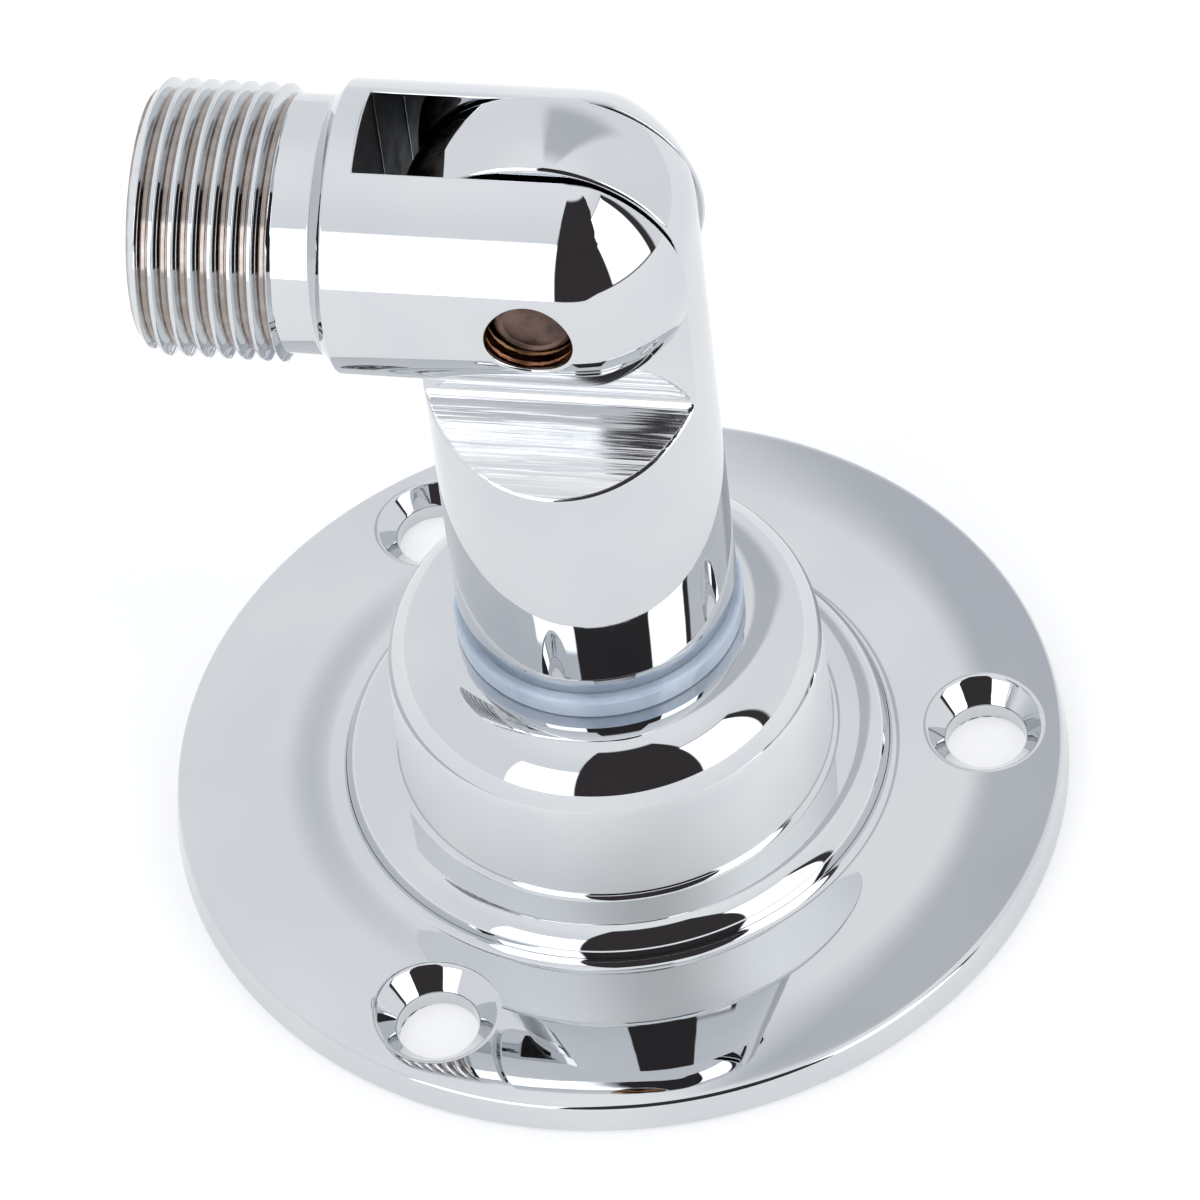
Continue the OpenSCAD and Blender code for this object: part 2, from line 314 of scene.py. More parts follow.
def thread_chrome(name):
    """Plate on the crests that turns dull brown and rougher towards the roots of the arm's thread."""
    m = chrome(name)
    n, s = Nodes(m.node_tree), m.node_tree.nodes["Principled BSDF"]
    co = n.new("ShaderNodeTexCoord").outputs["Object"]
    split = n.new("ShaderNodeSeparateXYZ")
    n.put(split.inputs[0], co)
    y, z = split.outputs[1], n.math("SUBTRACT", split.outputs[2], PIVOT * MM)
    r = n.math("SQRT", n.math("ADD", n.math("MULTIPLY", y, y), n.math("MULTIPLY", z, z)))
    ragged_root_edge = n.math("MULTIPLY", n.noise(co, 700, 3), 0.0003)
    deep = n.ramp(n.math("ADD", r, ragged_root_edge), 0.01165, 0.01215, 1.0, 0.0)
    old = s.inputs["Base Color"].links[0].from_socket
    n.put(s.inputs["Base Color"], n.mix(deep, old, (0.31, 0.26, 0.23, 1)))
    rough = s.inputs["Roughness"].links[0].from_socket
    n.put(s.inputs["Roughness"], n.math("ADD", rough, n.math("MULTIPLY", deep, 0.14)))
    return m


def milled_chrome(name):
    """Plate over a milled flat: fine marks along X, a softer mirror."""
    m = chrome(name, (0.80, 0.81, 0.82), 0.13, 0.22)
    n, s = Nodes(m.node_tree), m.node_tree.nodes["Principled BSDF"]
    co = n.new("ShaderNodeTexCoord").outputs["Object"]
    marks = n.noise(co, 1.0, 3, stretch=(35, 1500, 1500))
    old = s.inputs["Base Color"].links[0].from_socket
    n.put(s.inputs["Base Color"], n.mix(n.ramp(marks, 0.44, 0.56), (0.66, 0.67, 0.69, 1), old))
    n.put(s.inputs["Normal"], n.bump(marks, 0.35, 0.0002))
    return m


def nylon(name):
    m, n, s, co = material(name)
    body = n.noise(co, 160, 4)
    tone = n.ramp(body, 0.3, 0.7)
    n.put(s.inputs["Base Color"], n.mix(tone, (0.36, 0.44, 0.54, 1), (0.47, 0.55, 0.66, 1)))
    n.put(s.inputs["Roughness"], n.ramp(n.noise(co, 900, 3), 0.2, 0.8, 0.14, 0.28))
    s.inputs["Subsurface Weight"].default_value = 0.35
    s.inputs["Subsurface Radius"].default_value = (0.6, 0.8, 1.0)
    s.inputs["Subsurface Scale"].default_value = 0.0015
    s.inputs["Coat Weight"].default_value = 0.7
    s.inputs["Coat Roughness"].default_value = 0.12
    turned = n.noise(co, 1.0, 2, stretch=(60, 60, 9000))
    n.put(s.inputs["Normal"], n.bump(turned, 0.15, 0.0001))
    return m


def turned_metal(name, light, dark, low, high, axis="z"):
    """Bare metal with fine turning marks round the axis named. Also carries the slot floor's painted shade
    and the near hole thread's painted reflection.
    """
    m, n, s, co = material(name)
    s.inputs["Metallic"].default_value = 1.0
    stretch = {"z": (500, 500, 14000), "y": (500, 14000, 500)}[axis]
    rings = n.noise(co, 1.0, 3, stretch=stretch)
    stain = n.noise(co, 260, 5, 0.6)
    n.put(s.inputs["Base Color"], n.mix(n.ramp(stain, 0.35, 0.68), dark + (1,), light + (1,)))
    n.put(s.inputs["Roughness"], n.ramp(n.math("ADD", rings, stain), 0.7, 1.3, low, high))
    n.put(s.inputs["Normal"], n.bump(rings, 0.25, 0.0001))
    return m


CHROME = chrome("chrome_plate")
BLASTED_CHROME = chrome("chrome_blasted", (0.87, 0.885, 0.905), 0.62, 0.68)
MILLED_CHROME = milled_chrome("chrome_milled")
THREAD_CHROME = thread_chrome("thread_plate")
NYLON = nylon("nylon_blue")
STEEL = turned_metal("turned_steel", (0.62, 0.62, 0.63), (0.42, 0.42, 0.43), 0.18, 0.36)
BROWN = turned_metal("brown_bronze", (0.19, 0.125, 0.105), (0.08, 0.055, 0.048), 0.22, 0.45, "y")
# painted reflection: the near hole's thread is coloured orange-brown to stand in for the screw's brown end
# reflected in the bore
BORE_THREAD_PAINTED_REFLECTION = turned_metal("bore_thread_painted_reflection", (0.62, 0.33, 0.16), (0.22, 0.10, 0.06), 0.2, 0.4, "y")
# painted shade: the slot floor between the ears is coloured near black where shade falls
SLOT_PAINTED_SHADE = turned_metal("slot_floor_painted_shade", (0.085, 0.07, 0.065), (0.02, 0.016, 0.015), 0.3, 0.55)


# ---------------------------------------------------------------- base
HOLES = [math.radians(9.8 + 120 * i) for i in range(3)]
HOLES_R, HOLE_R, SINK_REACH = 36, 3.9, 2.1
VALLEY_R, CROWN_R, FLANGE_R = 28.7, 42.75, 44.0
STEP_FOOT = 3.62
SPOKES, HALF_BLOCK = 360, 13
RING = circle(SPOKES)
CROWN_RADII = np.array([26.9, 28.2, 31.0, 34.0, 36.5, 39.0, 41.0, 42.9])
CROWN_HEIGHTS = np.array([3.62, 3.62, 3.84, 3.97, 3.98, 3.84, 3.65, 3.40])
CROWN_FIT = np.polyfit(CROWN_RADII - 35, CROWN_HEIGHTS, 5)


def crown(r):
    """Height and slope of the flange's top, a smooth crown that falls towards the rim."""
    return np.polyval(CROWN_FIT, np.asarray(r) - 35), np.polyval(np.polyder(CROWN_FIT), np.asarray(r) - 35)


def underside(r):
    return np.zeros_like(r), np.zeros_like(r)


def mouth_radius(centre, direction):
    """Distance from the hole's centre at which the 90 degree countersink meets the crown."""
    lo, hi = np.full(len(direction), 5.0), np.full(len(direction), 6.4)
    for _ in range(30):
        mid = (lo + hi) / 2
        r = np.linalg.norm(centre + direction * mid[:, None], axis=-1)
        above = (mid - SINK_REACH) - crown(r)[0] > 0
        hi = np.where(above, mid, hi)
        lo = np.where(above, lo, mid)
    return (lo + hi) / 2


def pierced_sheet(s, radii, height, down, radius_of):
    """One face of the flange with a block of quads round each hole.
    Gives the centre, the directions and the radii of each hole."""
    z, dz = height(radii)
    normal = np.stack([-dz, np.ones_like(z)], -1) * (-1 if down else 1)
    pts, nrm = spin((np.stack([radii, z], -1), normal), RING)
    i0, i1 = int(np.argmin(abs(radii - VALLEY_R))), int(np.argmin(abs(radii - CROWN_R)))
    columns = [int(round(h / (2 * math.pi) * SPOKES)) % SPOKES for h in HOLES]
    if i0 > 0:
        s.add(pts[:i0 + 1], nrm[:i0 + 1], closed=True)
    if i1 < len(radii) - 1:
        s.add(pts[i1:], nrm[i1:], closed=True)
    for c, following in zip(columns, columns[1:] + [columns[0] + SPOKES]):
        cols = np.arange(c + HALF_BLOCK, following - HALF_BLOCK + 1) % SPOKES
        s.add(pts[i0:i1 + 1][:, cols], nrm[i0:i1 + 1][:, cols])
    found = []
    for h, c in zip(HOLES, columns):
        cols = np.arange(c - HALF_BLOCK, c + HALF_BLOCK + 1) % SPOKES
        block = pts[i0:i1 + 1][:, cols]
        loop = np.concatenate([block[0, :-1], block[:-1, -1], block[-1, :0:-1], block[:0:-1, 0]])[:, :2]
        centre = HOLES_R * np.array([math.cos(h), math.sin(h)])
        ang = np.arctan2(loop[:, 1] - centre[1], loop[:, 0] - centre[0])
        direction = np.stack([np.cos(ang), np.sin(ang)], -1)
        start = radius_of(centre, direction)
        mouth = centre + direction * start[:, None]
        share = np.array([0, 0.08, 0.2, 0.36, 0.55, 0.78, 1.0])[:, None, None]
        flat = mouth[None] + (loop - mouth)[None] * share
        rr = np.linalg.norm(flat, axis=-1)
        z, dz = height(rr)
        away = flat / rr[..., None]
        normal = np.stack([-dz * away[..., 0], -dz * away[..., 1], np.ones_like(z)], -1)
        s.add(np.concatenate([flat, z[..., None]], -1), -normal if down else normal, closed=True)
        found.append((centre, direction, start))
    return found


def countersink(s, centre, direction, start, soft):
    """From the rounded mouth down the 90 degree cone and the straight hole."""
    mouth = start - soft
    r_out = np.linalg.norm(centre + direction * start[:, None], axis=-1)
    z_out, dz_out = crown(r_out)
    r_mouth = np.linalg.norm(centre + direction * mouth[:, None], axis=-1)
    p0 = np.stack([start, z_out], -1)
    p1 = np.stack([mouth, crown(r_mouth)[0]], -1)
    p2 = np.stack([mouth - soft, mouth - soft - SINK_REACH], -1)
    away = (centre + direction * start[:, None]) / r_out[:, None]
    slope = dz_out * (away * direction).sum(-1)
    upper = unit(np.stack([-slope, np.ones_like(slope)], -1))
    cone = np.stack([np.full(len(mouth), -0.7071), np.full(len(mouth), 0.7071)], -1)
    pts, nrm = [], []
    for t in np.arange(7) / 6:
        pts.append(p0 * (1 - t) ** 2 + 2 * p1 * t * (1 - t) + p2 * t * t)
        nrm.append(unit(upper * (1 - t) + cone * t))
    for r, z, nr, nz in (
        (4.6, 2.5, -0.7071, 0.7071), (4.12, 2.02, -0.7071, 0.7071), (4.03, 1.92, -0.78, 0.62),
        (3.95, 1.80, -0.92, 0.38), (HOLE_R, 1.65, -1, 0), (HOLE_R, 0.15, -1, 0),
    ):
        pts.append(np.stack([np.full(len(mouth), r), np.full(len(mouth), z)], -1))
        nrm.append(np.stack([np.full(len(mouth), nr), np.full(len(mouth), nz)], -1))
    pts, nrm = np.array(pts), np.array(nrm)
    s.add(np.concatenate([centre + pts[..., :1] * direction, pts[..., 1:]], -1),
          np.concatenate([nrm[..., :1] * direction, nrm[..., 1:]], -1), closed=True)


def hole_foot(s, centre, direction):
    """The small rounding where a hole meets the underside."""
    column = np.ones((len(direction), 1))
    rows = ((HOLE_R, 0.15, -1, 0), (3.94, 0.05, -0.7, -0.7), (4.05, 0.0, 0, -1.0))
    pts = [np.concatenate([centre + r * direction, z * column], -1) for r, z, _, _ in rows]
    nrm = [np.concatenate([nr * direction, nz * column], -1) for _, _, nr, nz in rows]
    s.add(np.stack(pts), np.stack(nrm), closed=True)


def build_base():
    s = Shape()
    rim_z, rim_slope = crown(CROWN_R)
    p, q = path([
        (17.5, 0.0, 0.0), (43.65, 0.0, 0.12), (FLANGE_R, 0.35, 0.1),
        (43.5, float(rim_z) - 0.22, 0.5), (CROWN_R, float(rim_z), 0),
    ])
    side = int(np.argmax(p[:, 0] > 43.0))
    p, q = p[side:], q[side:].copy()
    q[-1] = unit(np.array([-rim_slope, 1.0]))
    s.add(*spin((p, q), RING), closed=True)

    soft = 0.28
    top_rows = np.concatenate([[VALLEY_R, 29.4], np.arange(30.2, 41.3, 1.0), [42.0, CROWN_R]])
    low_rows = np.array([17.5, 20, 24, VALLEY_R, 30.5, 33, 36, 39, 41.5, CROWN_R, p[0, 0]])
    top = pierced_sheet(s, top_rows, crown, False, lambda c, d: mouth_radius(c, d) + soft)
    low = pierced_sheet(s, low_rows, underside, True, lambda c, d: np.full(len(d), HOLE_R + 0.15))
    for (centre, direction, start), (_, low_direction, _) in zip(top, low):
        countersink(s, centre, direction, start, soft)
        hole_foot(s, centre, low_direction)

    # step, collar, top, bore and recess: one profile from the valley inwards
    valley_z, valley_slope = crown(VALLEY_R)
    p, q = path([
        (VALLEY_R, STEP_FOOT, 0), (26.7, STEP_FOOT, 0.9), (26.7, 7.0, 2.9), (21.3, 7.0, 0.7),
        (20.9, 25.1, 6.4), (8.65, 25.1, 0.25), (8.65, 17.0, 0.1), (16.5, 17.0, 0.4),
        (16.5, 1.0, 0.15), (17.5, 0.0, 0),
    ], 12)
    p, q = p.copy(), q.copy()
    p[:, 1] += np.clip((p[:, 0] - 27.6) / 1.1, 0, 1) * (p[:, 1] < 4.5) * (float(valley_z) - STEP_FOOT)
    q[0] = unit(np.array([-float(valley_slope), 1.0]))
    on_wall = (p[:, 0] > 20.2) & (p[:, 0] < 21.5) & (p[:, 1] > 7.6) & (p[:, 1] < 20.2)
    a, b = int(np.argmax(on_wall)), len(p) - int(np.argmax(on_wall[::-1]))
    for lo, hi, mat in ((0, a + 1, 0), (a, b, 1), (b - 1, len(p), 0)):
        s.add(*spin((p[lo:hi], q[lo:hi]), RING), closed=True, mat=mat)
    return s.build("base_shell", [CHROME, BLASTED_CHROME])


# ---------------------------------------------------------------- post
LEDGE = math.radians(25.8)
POST_R, BALL_R, TONGUE = 13.5, 14.3, 4.6
LEDGE_Z = PIVOT - 16.6
BORE_R = 5.05
SHANK_Z = 50.0  # below this the post is a plain turned profile


def ledge_height(y):
    return LEDGE_Z - (np.abs(y) - TONGUE) * math.tan(LEDGE)


def post_sdf(p):
    x, y, z = p[..., 0], p[..., 1], p[..., 2] - PIVOT
    outer = rmax(np.hypot(x, y) - POST_R, np.sqrt(x * x + y * y + np.maximum(z, 0) ** 2) - BALL_R, 0.6)
    over = (z + PIVOT - ledge_height(y)) * math.cos(LEDGE)
    cut = rmin(over, np.abs(y) - TONGUE, 0.6)
    solid = rmax(outer, cut, 0.32)
    return rmax(solid, BORE_R - np.hypot(x, z), 0.2)


def disc(radius, ang, y, height=0.0):
    """A ring of points round an axis along Y, at the angles given."""
    return np.stack([radius * np.cos(ang), y * np.ones(len(ang)), height + radius * np.sin(ang)], -1)


def rows_between(start, end, near, far, count):
    """Rows of points from one outline to another, with rows close to each edge."""
    length = np.linalg.norm(end - start, axis=-1)
    inner = max(near) + (length - max(near) - max(far)) * np.linspace(0, 1, count)[1:-1, None]
    rows = [np.full(len(length), d) for d in near] + list(inner)
    rows += [length - d for d in sorted(far, reverse=True)]
    return start + (end - start) * (np.array(rows) / length)[..., None]


def build_ledges(s, xs, face):
    stops = np.array([0, 0.1, 0.2, 0.3, 0.42, 0.7])
    for sign in (-1, 1):
        lines = []
        for x, f in zip(xs, face):
            length = f - TONGUE
            edge = np.minimum(stops, length * 0.4 * stops / stops[-1]) if length < 1.8 else stops
            out, inn = f - edge, TONGUE + edge[::-1]
            y = np.concatenate([out, np.linspace(out[-1], inn[0], 8)[1:-1], inn]) * sign
            lines.append(np.stack([np.full(len(y), x), y, ledge_height(y)], -1))
        s.settled(np.array(lines), post_sdf, mat=1)


def build_tongue(s, xs, ys, side):
    """The edge strip over the top, the two flats and the bore."""
    heights = spread(LEDGE_Z, PIVOT, 16, EDGE, [0])
    right = np.stack([np.stack([side, ys, np.full(len(ys), z)], -1) for z in heights])
    top = []
    for f in np.linspace(0, math.pi, 61):
        reach = np.minimum(np.sqrt(BALL_R ** 2 - ys ** 2), side / max(abs(math.cos(f)), 1e-6))
        top.append(np.stack([reach * math.cos(f), ys, PIVOT + reach * math.sin(f)], -1))
    strip = np.concatenate([right, np.array(top)[1:-1], right[::-1] * np.array([-1, 1, 1])])
    s.settled(strip, post_sdf)
    for sign, end in ((-1, 0), (1, -1)):
        bottom = np.stack([xs, np.full(len(xs), sign * TONGUE), np.full(len(xs), LEDGE_Z)], -1)[1:-1]
        outline = np.concatenate([strip[:, end], bottom])
        ang = np.arctan2(outline[:, 2] - PIVOT, outline[:, 0])
        bore = disc(BORE_R, ang, sign * TONGUE, PIVOT)
        s.settled(rows_between(bore, outline, (0, 0.1, 0.2, 0.4), EDGE, 9), post_sdf, closed=True)
        wall = [disc(BORE_R, ang, sign * (TONGUE - d), PIVOT) for d in (0, 0.1, 0.2, 0.4, TONGUE)]
        s.settled(np.stack(wall), post_sdf, closed=True)


def build_post():
    s = Shape()
    edge_x = math.sqrt(POST_R ** 2 - TONGUE ** 2)
    ys = spread(-TONGUE, TONGUE, 10, EDGE)
    xs = spread(-edge_x, edge_x, 44, EDGE)
    side = np.sqrt(POST_R ** 2 - ys ** 2)
    face = np.sqrt(POST_R ** 2 - xs ** 2)
    # once round: right side, back, left side, front
    ring = np.concatenate([np.stack([side, ys], -1)[:-1], np.stack([xs[::-1], face[::-1]], -1)[:-1],
                           np.stack([-side, ys[::-1]], -1)[:-1], np.stack([xs, -face], -1)[:-1]])
    level = np.full(len(ys) - 1, LEDGE_Z)
    crease = np.concatenate([level, ledge_height(face[::-1])[:-1], level, ledge_height(face)[:-1]])
    foot = path([(0, 1.15, 0), (5, 1.15, 0.15), (6, 2.15, 0.15), (6, 16.2, 0), (7, 16.2, 0.15), (7, 27.55, 0),
                 (12.9, 27.55, 0.15), (POST_R, 30.15, 0.6), (POST_R, SHANK_Z, 0)])
    s.add(*spin(foot, unit(ring)), closed=True)
    drops = np.array([0, 0.1, 0.2, 0.3, 0.42, 0.7, 1.1])
    rows = [SHANK_Z + (crease - 1.1 - SHANK_Z) * t for t in np.linspace(0, 1, 9)[:-1]]
    rows += [crease - d for d in drops[::-1]]
    s.settled(np.stack([np.concatenate([ring, z[:, None]], -1) for z in rows]), post_sdf, closed=True)
    build_ledges(s, xs, face)
    build_tongue(s, xs, ys, side)
    return s.build("post_body", [CHROME, MILLED_CHROME])


# ---------------------------------------------------------------- fork
# in the fork's own frame: x along the arm, y along the screw, z up, from the middle of the pivot
SLOT, FLOOR, FORK_R = 5.0, -16.1, 13.5
TOP_W = math.sqrt(FORK_R ** 2 - SLOT ** 2)
PITCH, THREAD_R, ROOT_R = 1.814, 12.7, 11.6
NECK_R, NECK_END, ARM_END = 11.9, -23.4, -36.75
HOLE_NEAR, HOLE_FAR, HEAD_HOLE, HEAD_Y = 4.0, 4.1, 6.3, 7.6
SCREW_PITCH = 1.25
NEAR_LIP = (0, 0.1, 0.2, 0.3, 0.45)


def fork_sdf(p):
    u, y, w = p[..., 0], p[..., 1], p[..., 2]
    outer = rmax(np.hypot(y, w) - FORK_R, np.sqrt(np.maximum(u, 0) ** 2 + y * y + w * w) - BALL_R, 0.6)
    dx, dy = FLOOR - u, np.abs(y) - SLOT
    slot = np.hypot(np.maximum(dx, 0), np.maximum(dy, 0)) + np.minimum(np.maximum(dx, dy), 0)
    solid = rmax(outer, -slot, 0.3)
    q = np.hypot(u, w)
    near = np.where(y < 0, HOLE_NEAR - q, -9.0)
    far = np.where(y > 0, np.maximum(HOLE_FAR - q, np.minimum(HEAD_HOLE - q, y - HEAD_Y)), -9.0)
    return rmax(solid, np.maximum(near, far), 0.34)


def skin_y(u, w):
    a = np.sqrt(np.maximum(FORK_R ** 2 - w * w, 0))
    b = np.sqrt(np.maximum(BALL_R ** 2 - np.maximum(u, 0) ** 2 - w * w, 0))
    return np.minimum(a, b)


def build_near_hole(s, ring, ang, reach):
    """The threaded hole of the near ear, with its thread as a real helix."""
    wall = [np.stack([ring[:, 0], -(reach - d), ring[:, 1]], -1) for d in NEAR_LIP]
    s.settled(np.array(wall), fork_sdf, closed=True)
    lip = max(NEAR_LIP)
    start_y, end_y, rows = reach - lip, SLOT + lip, 84
    pts, nrm = [], []
    for k in range(rows + 1):
        y = start_y + (end_y - start_y) * k / rows
        fade = np.clip(np.minimum((start_y - y) / 0.25, (y - end_y) / 0.25), 0, 1)
        phase = (y / SCREW_PITCH + ang / (2 * math.pi)) % 1.0
        r = HOLE_NEAR + 0.22 * fade * np.clip(np.abs(phase * 2 - 1) * 1.3 - 0.1, 0, 1)
        pts.append(np.stack([r * np.cos(ang), -y, r * np.sin(ang)], -1))
        slope = np.where(phase < 0.5, 1, -1) * fade * 0.75
        nrm.append(np.stack([-np.cos(ang), -slope, -np.sin(ang)], -1))
    # the thread's orange-brown colour is a painted reflection
    s.add(np.array(pts), np.array(nrm), closed=True, mat=1)
    wall = [np.stack([ring[:, 0], np.full(len(ang), -(SLOT + d)), ring[:, 1]], -1) for d in NEAR_LIP[::-1]]
    s.settled(np.array(wall), fork_sdf, closed=True)


def build_far_hole(s, ring, ang, reach):
    """The far ear's counterbore for the screw's head and the plain hole under it."""
    wall = [np.stack([ring[:, 0], reach - d, ring[:, 1]], -1) for d in NEAR_LIP]
    wall.append(disc(HEAD_HOLE, ang, HEAD_Y))
    s.settled(np.array(wall), fork_sdf, closed=True)
    seat = [disc(HEAD_HOLE + (HOLE_FAR - HEAD_HOLE) * k, ang, HEAD_Y) for k in (0, 0.5, 0.85, 0.95, 1.0)]
    s.settled(np.array(seat), fork_sdf, closed=True)
    heights = (HEAD_Y, HEAD_Y - 0.15, HEAD_Y - 0.34, 5.45, 5.3, 5.2, 5.1, SLOT)
    s.settled(np.array([disc(HOLE_FAR, ang, y) for y in heights]), fork_sdf, closed=True)


def build_ears(s, wl):
    """Both ears, from an outline seen along Y: the floor's edge, the top, the round end, the bottom."""
    us = spread(FLOOR, 0, 18, EDGE, [0])
    phi = np.linspace(math.pi / 2, -math.pi / 2, 61)
    reach = np.minimum(math.sqrt(BALL_R ** 2 - SLOT ** 2), TOP_W / np.maximum(np.abs(np.sin(phi)), 1e-6))
    arc = np.stack([reach * np.cos(phi), reach * np.sin(phi)], -1)
    up = np.stack([np.full(len(wl), FLOOR), wl], -1)
    top = np.stack([us, np.full(len(us), TOP_W)], -1)
    bottom = np.stack([us[::-1], np.full(len(us), -TOP_W)], -1)
    outline = np.concatenate([up[:-1], top[:-1], arc[:-1], bottom[:-1]])
    ang = np.arctan2(outline[:, 1], outline[:, 0])
    spokes = np.stack([np.cos(ang), np.sin(ang)], -1)
    for sign, mouth, inner, build_hole in ((-1, HOLE_NEAR, HOLE_NEAR, build_near_hole),
                                           (1, HEAD_HOLE, HOLE_FAR, build_far_hole)):
        ring = mouth * spokes
        edge = (0, 0.035, 0.07, 0.11, 0.17, 0.3, 0.55, 0.9)
        uw = rows_between(ring, outline, (0, 0.1, 0.2, 0.3, 0.45, 0.8), edge, 13)
        y = sign * skin_y(uw[..., 0], uw[..., 1])
        s.settled(np.stack([uw[..., 0], y, uw[..., 1]], -1), fork_sdf, closed=True)
        uw = rows_between(inner * spokes, outline, NEAR_LIP, EDGE, 9)
        y = np.full(uw.shape[:2], sign * SLOT)
        s.settled(np.stack([uw[..., 0], y, uw[..., 1]], -1), fork_sdf, closed=True)
        build_hole(s, ring, ang, skin_y(ring[:, 0], ring[:, 1]))


def thread_radius(x, th):
    """Radius of the arm's threaded end, with a chamfer at each end of the thread."""
    phase = (x / PITCH + th / (2 * math.pi)) % 1.0
    rise = np.clip((1 - np.abs(phase * 2 - 1) - 0.20) / 0.62, 0, 1)
    rise = rise * rise * (3 - 2 * rise) * 0.35 + rise * 0.65
    thread = ROOT_R + (THREAD_R - ROOT_R) * rise
    inner_end = NECK_R + (NECK_END - x) * 1.6
    outer_end = ROOT_R + (x - ARM_END) * 1.0
    r = rmin(thread, rmin(inner_end, outer_end, 0.15), 0.12)
    return np.maximum(r, NECK_R - (NECK_END - x) * 0.9)


def build_thread(s, directions):
    """A helix as a height over the cylinder, with rows that follow it."""
    per_turn = 18
    th = np.unwrap(np.arctan2(directions[:, 1], directions[:, 0]))
    th = np.concatenate([th, [th[0] + (-2 if th[1] < th[0] else 2) * math.pi]])
    turn = (th - th[0]) / (2 * math.pi)
    count = int(math.ceil((NECK_END - ARM_END) / PITCH) + 2) * per_turn
    base_x = ARM_END - PITCH * 1.5 + np.arange(count + 1) * PITCH / per_turn
    x = np.clip(base_x[:, None] - PITCH * turn[None, :], ARM_END, NECK_END)
    th = np.repeat(th[None, :], len(x), 0)
    r = np.where(x <= ARM_END, ROOT_R, np.where(x >= NECK_END, NECK_R, thread_radius(x, th)))
    e = 1e-3
    by_x = (thread_radius(x + e, th) - thread_radius(x - e, th)) / (2 * e)
    by_th = (thread_radius(x, th + e) - thread_radius(x, th - e)) / (2 * e)
    cos, sin = np.cos(th), np.sin(th)
    nrm = np.stack([-by_x, cos + by_th / r * sin, sin - by_th / r * cos], -1)
    s.add(np.stack([x, r * cos, r * sin], -1), nrm, mat=3)


def build_fork():
    s = Shape()
    amax = math.asin(TOP_W / FORK_R)
    wl = FORK_R * np.sin(spread(-amax * FORK_R, amax * FORK_R, 34, EDGE) / FORK_R)
    ys = spread(-SLOT, SLOT, 14, EDGE)
    build_ears(s, wl)
    # slot floor, coloured near black as painted shade
    lines = []
    for y in ys:
        across = wl * math.sqrt(FORK_R ** 2 - y * y) / TOP_W
        lines.append(np.stack([np.full(len(wl), FLOOR), np.full(len(wl), y), across], -1))
    s.settled(np.array(lines), fork_sdf, mat=2)
    # the bar's ring of columns: near side up, over the top, far side down, along the bottom
    flank, cap = np.sqrt(FORK_R ** 2 - wl ** 2), np.sqrt(FORK_R ** 2 - ys ** 2)
    yw = np.concatenate([np.stack([-flank, wl], -1)[:-1], np.stack([ys, cap], -1)[:-1],
                         np.stack([flank, wl], -1)[::-1][:-1], np.stack([ys, -cap], -1)[::-1][:-1]])
    depths = (0, 0.1, 0.2, 0.3, 0.42, 0.8, 1.4)
    back = [np.concatenate([np.full((len(yw), 1), FLOOR - d), yw], -1) for d in depths]
    s.settled(np.stack(back), fork_sdf, closed=True)
    # neck, by turning a profile round the arm; local z runs along -X
    to_arm = np.array([[0, 1, 0], [0, 0, 1], [-1, 0, 0]], float)
    directions = unit(yw)
    neck = path([(FORK_R, 17.5, 0), (FORK_R, 18.6, 0.3), (NECK_R, 20.0, 0.35), (NECK_R, -NECK_END, 0)])
    s.add(*spin(neck, directions, to_arm), closed=True)
    build_thread(s, directions)
    s.add(*spin(path([(ROOT_R, -ARM_END, 0), (0, -ARM_END, 0)]), directions, to_arm), closed=True)
    ob = s.build("fork_body", [CHROME, BORE_THREAD_PAINTED_REFLECTION, SLOT_PAINTED_SHADE, THREAD_CHROME])
    ob.data.transform(Matrix.Translation((0, 0, PIVOT * MM)))
    return ob


# ---------------------------------------------------------------- washer and screw
def build_washer():
    s = Shape()
    inner, outer, low, high = 7.15, 13.9, 25.1, 27.5
    prof = path([
        (inner, low, 0.0), (outer, low, 0.3), (outer, high, 0.5), (inner, high, 0.1), (inner, low, 0),
    ])
    s.add(*spin(prof, circle(192)), closed=True)
    return s.build("washer_ring", [NYLON])


def build_screw():
    s = Shape()
    spokes = 144
    column = np.ones(spokes)
    to_y = np.array([[1, 0, 0], [0, 0, -1], [0, 1, 0]], float)
    prof = path([
        (0, -10.9, 0), (2.75, -10.92, 0.25), (3.1, -11.1, 0.08), (3.3, -11.1, 0.06), (3.74, -10.5, 0.08),
        (3.74, -9.4, 0.0), (4.0, -9.1, 0.0), (4.0, HEAD_Y, 0), (6.0, HEAD_Y, 0.15), (6.0, 11.6, 0.45),
        (3.2, 11.6, 0.25), (2.95, 11.3, 0),
    ])
    s.add(*spin(prof, circle(spokes), to_y), closed=True)
    # hexagon socket: from a round mouth to a hexagon, then down to its floor
    t = np.arange(spokes) / spokes * 2 * math.pi
    hexagon = 2.5 / np.cos((t + math.pi / 6) % (math.pi / 3) - math.pi / 6)
    c = np.stack([np.cos(t), np.sin(t)], -1)
    rows, nrm = [], []
    mouth = 2.95 * column
    for r, z, nz in ((mouth, 11.3, 0.7), (hexagon, 11.15, 0.7), (hexagon, 11.1, 0), (hexagon, 9.0, 0)):
        rows.append(np.stack([c[:, 0] * r, c[:, 1] * r, z * column], -1))
        nrm.append(np.stack([-c[:, 0], -c[:, 1], nz * column], -1))
    s.add(np.array(rows) @ to_y, np.array(nrm) @ to_y, closed=True)
    floor = []
    for k, z in ((1, 9.0), (0.5, 8.7), (0, 8.4)):
        floor.append(np.stack([c[:, 0] * hexagon * k, c[:, 1] * hexagon * k, z * column], -1))
    up = np.zeros((len(floor), spokes, 3))
    up[..., 2] = 1
    s.add(np.array(floor) @ to_y, up @ to_y, closed=True)
    ob = s.build("screw_body", [BROWN])
    ob.data.transform(Matrix.Translation((0, 0, PIVOT * MM)))
    return ob


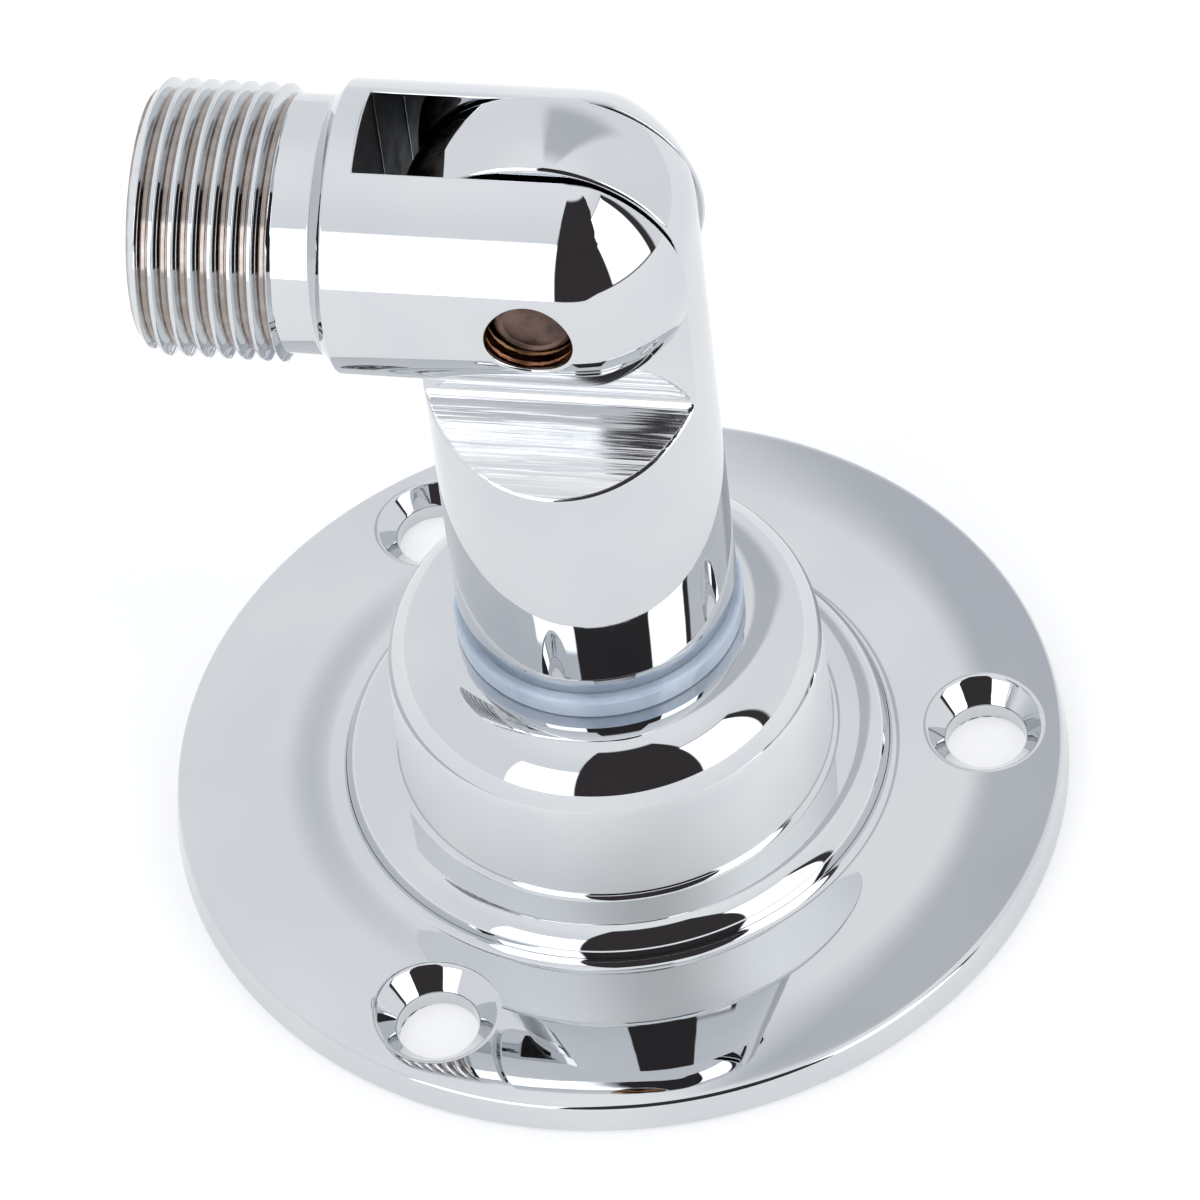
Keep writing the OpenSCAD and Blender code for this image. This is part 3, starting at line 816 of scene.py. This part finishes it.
for build, body, node, slot in (
    (build_base, "base", "base_casting", "chrome"),
    (build_washer, "base", "swivel_washer", "nylon"),
    (build_post, "post", "post", "chrome"),
    (build_fork, "fork", "fork", "chrome"),
    (build_screw, "fork", "pivot_screw", "bronze"),
):
    piece = build()
    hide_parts(node)
    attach(piece, body)

for node, mat in (
    ("swivel_bush", NYLON), ("lower_washer", NYLON), ("lock_nut_ring", NYLON), ("shim_near", NYLON),
    ("shim_far", NYLON), ("steel_washer", STEEL), ("disc_spring_upper", STEEL), ("disc_spring_lower", STEEL),
    ("lock_nut", STEEL), ("pivot_bush", BROWN),
):
    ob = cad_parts[node]
    ob.data.materials.clear()
    ob.data.materials.append(mat)
    bevel = ob.modifiers.new("soft_edges", "BEVEL")
    bevel.width = 0.00012
    bevel.segments = 2
    bevel.limit_method = "ANGLE"
    bevel.angle_limit = math.radians(40)


# ---------------------------------------------------------------- stage and light
def make_world():
    """A white tent over a bright table, with a dark gap round the camera and a lamp on each side of it.
    Azimuths are measured from the camera's, positive to its right."""
    world = bpy.data.worlds.new("studio")
    bpy.context.scene.world = world
    world.use_nodes = True
    tree = world.node_tree
    n = Nodes(tree)
    back = tree.nodes["Background"]
    way = n.new("ShaderNodeTexCoord").outputs["Generated"]

    def along(v):
        d = n.new("ShaderNodeVectorMath", operation="DOT_PRODUCT")
        n.put(d.inputs[0], way)
        d.inputs[1].default_value = v
        return d.outputs["Value"]

    sin, cos = math.sin(CAMERA_AZIMUTH), math.cos(CAMERA_AZIMUTH)
    rel = n.math("MULTIPLY", n.math("ARCTAN2", along((cos, sin, 0)), along((sin, -cos, 0))), 180 / math.pi)
    high = n.math("MULTIPLY", n.math("ARCSINE", along((0, 0, 1))), 180 / math.pi)

    def between(value, lo, hi, soft):
        above = n.ramp(value, lo - soft, lo + soft)
        return n.math("MULTIPLY", above, n.ramp(value, hi - soft, hi + soft, 1.0, 0.0))

    colour = n.mix(n.ramp(high, 45, 78), (0.96, 0.975, 1.0, 1), (1.06, 1.07, 1.09, 1))
    for azimuths, heights, soft, paint in (
        ((136, 174), (24, 74), (5.0, 9.0), (0.62, 0.635, 0.68, 1)),      # grey room behind the object
        ((-22.5, 38), (-5.5, 75), (0.8, 1.6), (0.045, 0.04, 0.042, 1)),  # dark gap round the camera
        ((-54, -22.5), (-8, 40), (0.8, 1.2), (2.6, 2.6, 2.65, 1)),       # left lamp
        ((36, 75.5), (-5.5, 52), (1.0, 1.2), (0.05, 0.045, 0.047, 1)),   # right lamp's dark frame
        ((37, 70), (-2.5, 51), (0.8, 1.2), (2.6, 2.6, 2.65, 1)),         # right lamp
    ):
        zone = n.math("MULTIPLY", between(rel, *azimuths, soft[0]), between(high, *heights, soft[1]))
        colour = n.mix(zone, colour, paint)
    colour = n.mix(n.ramp(high, -3.4, -4.6), colour, (1.02, 1.02, 1.03, 1))
    n.put(back.inputs["Color"], colour)
    back.inputs["Strength"].default_value = 1.0


def make_stage():
    m, n, s, co = material("floor_paper")
    grain = n.noise(co, 900, 3)
    n.put(s.inputs["Base Color"], n.mix(grain, (0.54, 0.543, 0.548, 1), (0.57, 0.572, 0.576, 1)))
    s.inputs["Roughness"].default_value = 0.9
    s.inputs["Emission Color"].default_value = (1, 1, 1, 1)
    s.inputs["Emission Strength"].default_value = 0.46
    mesh = bpy.data.meshes.new("floor")
    radius, corners = 1.15, 180
    rim = [(radius * x, radius * y, 0) for x, y in circle(corners)]
    mesh.from_pydata(rim, [], [tuple(range(corners))])
    mesh.materials.append(m)
    ob = bpy.data.objects.new("floor", mesh)
    bpy.context.scene.collection.objects.link(ob)
    ob.location.z = -0.00005
    light = bpy.data.lights.new("top_soft", "SUN")
    light.energy = 0.35
    light.angle = math.radians(80)
    lamp = bpy.data.objects.new("top_soft", light)
    lamp.rotation_euler = (math.radians(14), math.radians(-16), 0)
    lamp.visible_glossy = False
    bpy.context.scene.collection.objects.link(lamp)


make_world()
make_stage()
bpy.context.scene.view_settings.view_transform = "Standard"
bpy.context.scene.view_settings.look = "None"
